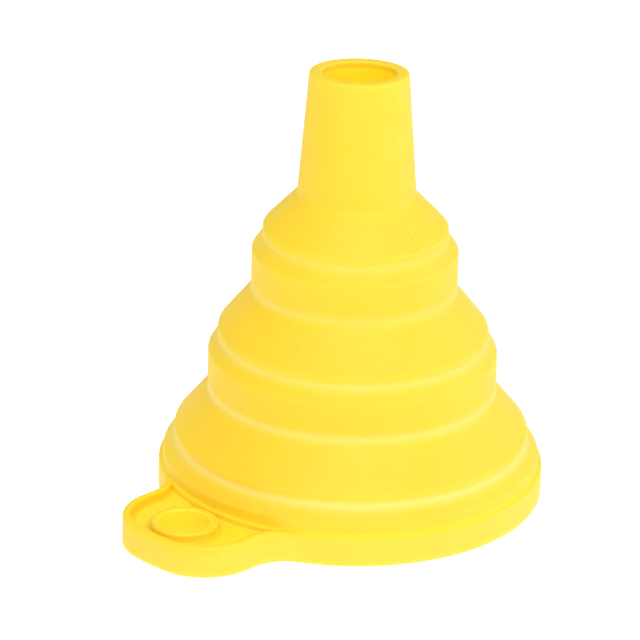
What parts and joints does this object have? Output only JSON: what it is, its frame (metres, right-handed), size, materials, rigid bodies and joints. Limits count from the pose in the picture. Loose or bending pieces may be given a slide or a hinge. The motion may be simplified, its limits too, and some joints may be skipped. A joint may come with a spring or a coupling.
{
  "type": "collapsible funnel",
  "caption": "Collapsible silicone funnel with stepped folding cones, a tapered spout and a hang tab.",
  "frame": {"origin": "on the funnel's axis in the plane of the mouth, the face that it stands on", "axes": "+Z along the axis from the mouth to the spout's tip, -X towards the hang tab"},
  "size_m": [0.0917, 0.075, 0.086],
  "materials": {
    "silicone": "translucent matt-satin silicone, bright yellow",
    "silicone_cone": "translucent matt-satin silicone, thin folding wall",
    "silicone_hinge": "thin paler silicone along a fold line"
  },
  "bodies": {
    "mouth": {"mouth_rim": "silicone", "hang_tab": "silicone", "tab_eyelet": "silicone", "mouth_band": "silicone", "mouth_hinge": "silicone_hinge", "lower_cone": "silicone_cone"},
    "middle": {"middle_band": "silicone", "middle_hinge": "silicone_hinge", "middle_cone": "silicone_cone"},
    "inner": {"inner_band": "silicone", "inner_hinge": "silicone_hinge", "shoulder_cone": "silicone_cone"},
    "outlet": {"spout": "silicone"}
  },
  "joints": [
    {"name": "mouth_fold", "type": "slide", "parent": "mouth", "child": "middle", "axis": [0, 0, -1], "range_m": [0, 0.0186], "deforming": ["lower_cone"]},
    {"name": "middle_fold", "type": "slide", "parent": "middle", "child": "inner", "axis": [0, 0, -1], "range_m": [0, 0.0186], "deforming": ["middle_cone"]},
    {"name": "spout_fold", "type": "slide", "parent": "inner", "child": "outlet", "axis": [0, 0, -1], "range_m": [0, 0.0166], "deforming": ["shoulder_cone"]}
  ]
}
